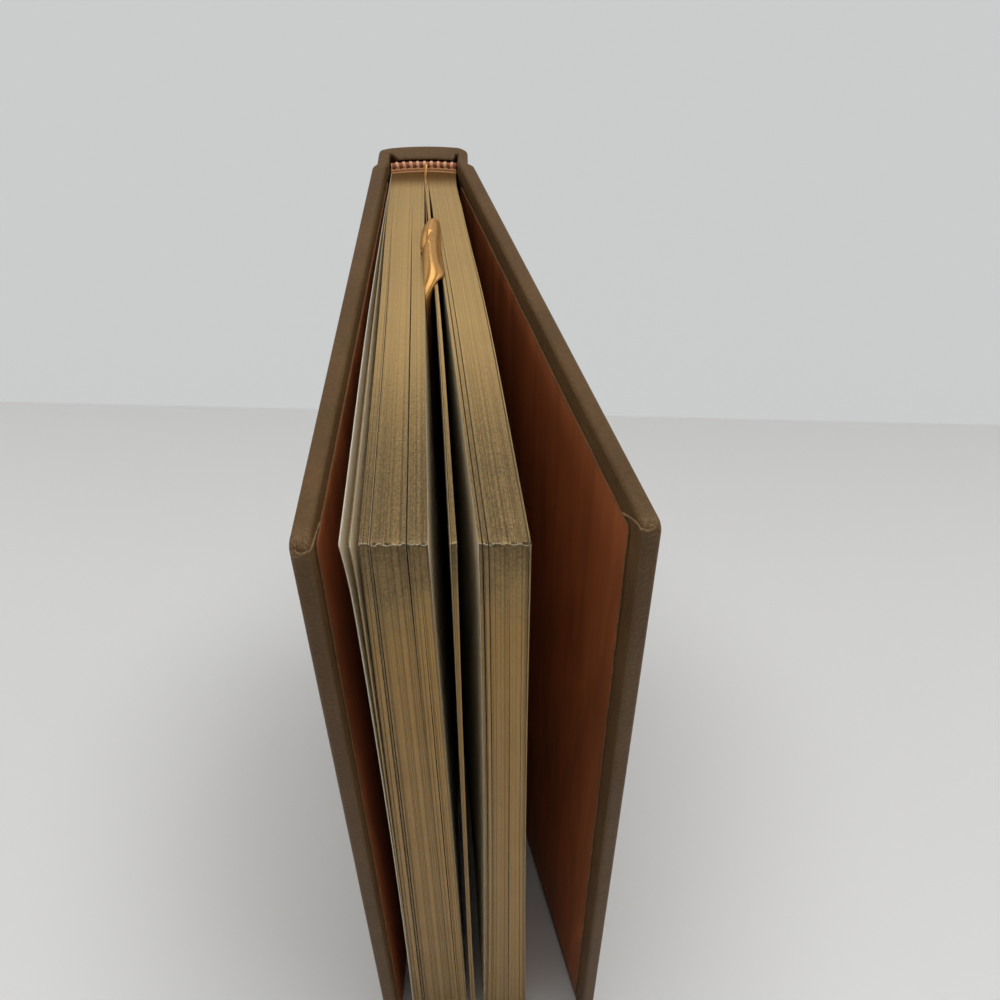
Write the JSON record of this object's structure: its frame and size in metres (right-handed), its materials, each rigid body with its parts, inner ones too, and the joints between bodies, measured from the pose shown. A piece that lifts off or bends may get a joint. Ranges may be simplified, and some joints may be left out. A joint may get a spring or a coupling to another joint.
{
  "type": "leather-bound book",
  "caption": "Leather-bound book standing ajar on its tail, with gilt edges, silk endpapers, headbands, a satin ribbon marker and two hinged covers.",
  "frame": {"origin": "middle of the spine's tail edge, on the surface that the book stands on", "axes": "+Z from tail to head, +Y from the fore edge to the spine, +X from the front cover to the back cover"},
  "size_m": [0.059, 0.1392, 0.203],
  "materials": {
    "leather": "fine-grained calf, taupe brown, satin",
    "gilt_paper": "sewn leaves with gilt edges, lightly worn",
    "leaf_paper": "smooth uncoated leaf with gilt edge",
    "endpaper_silk": "watered silk, rust brown, low sheen",
    "headband_silk": "wound silk thread, peach and brown",
    "ribbon_satin": "gold satin ribbon, glossy",
    "lining_cloth": "open-weave cotton glued flat",
    "board": "dense grey board",
    "spine_card": "flexible card"
  },
  "bodies": {
    "book_block": {"text_block": "gilt_paper", "front_flyleaf": "leaf_paper", "back_flyleaf": "leaf_paper", "spine_lining": "lining_cloth", "headband": "headband_silk", "tailband": "headband_silk", "spine_inlay": "spine_card", "spine_leather": "leather", "ribbon_marker": "ribbon_satin"},
    "front_cover": {"front_board": "board", "front_leather": "leather", "front_pastedown": "endpaper_silk"},
    "back_cover": {"back_board": "board", "back_leather": "leather", "back_pastedown": "endpaper_silk"}
  },
  "joints": [
    {"name": "front_cover_hinge", "type": "hinge", "parent": "book_block", "child": "front_cover", "pos_m": [-0.01175, -0.0075, 0.1015], "axis": [0, 0, -1], "range_deg": [0, 178]},
    {"name": "back_cover_hinge", "type": "hinge", "parent": "book_block", "child": "back_cover", "pos_m": [0.01175, -0.0075, 0.1015], "axis": [0, 0, 1], "range_deg": [-6.5, 165]}
  ]
}
